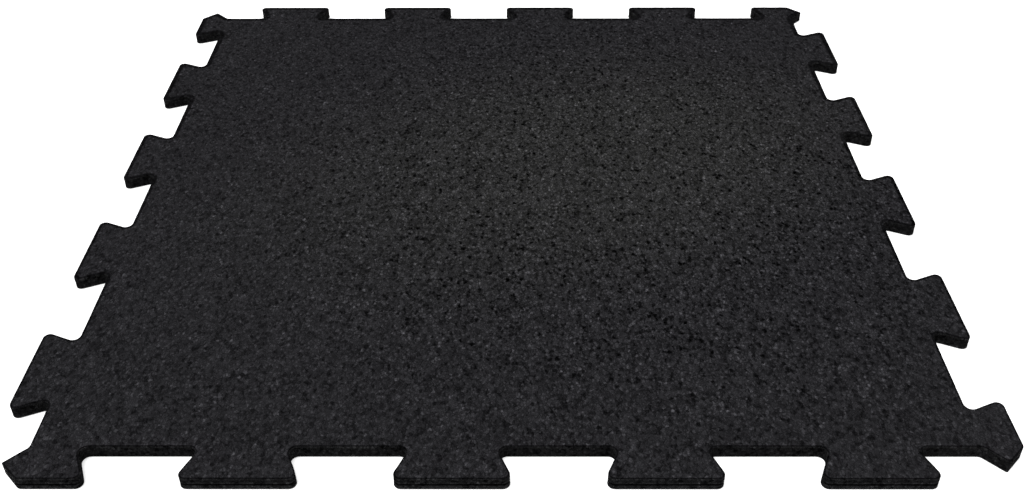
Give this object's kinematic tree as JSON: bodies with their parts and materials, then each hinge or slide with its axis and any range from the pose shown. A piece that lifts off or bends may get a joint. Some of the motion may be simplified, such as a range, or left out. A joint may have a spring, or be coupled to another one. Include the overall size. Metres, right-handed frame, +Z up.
{
  "type": "interlocking rubber floor tile",
  "caption": "Square slab of bonded rubber crumb with dovetail tabs and sockets on all sides, locking to like tiles as a gym floor.",
  "frame": {"origin": "centre of the tile's square body, on its underside", "axes": "+Z up through the thickness, out of the walking face; X and Y along the sides of the square body, with the side that faces -Y nearest in the picture"},
  "size_m": [0.6348, 0.6348, 0.0095],
  "materials": {
    "crumb_rubber": "matt black recycled rubber crumb pressed and bonded into a sheet, finely granular on the faces, open and darker on the cut edges"
  },
  "bodies": {
    "root": {"floor_tile": "crumb_rubber"}
  },
  "joints": []
}
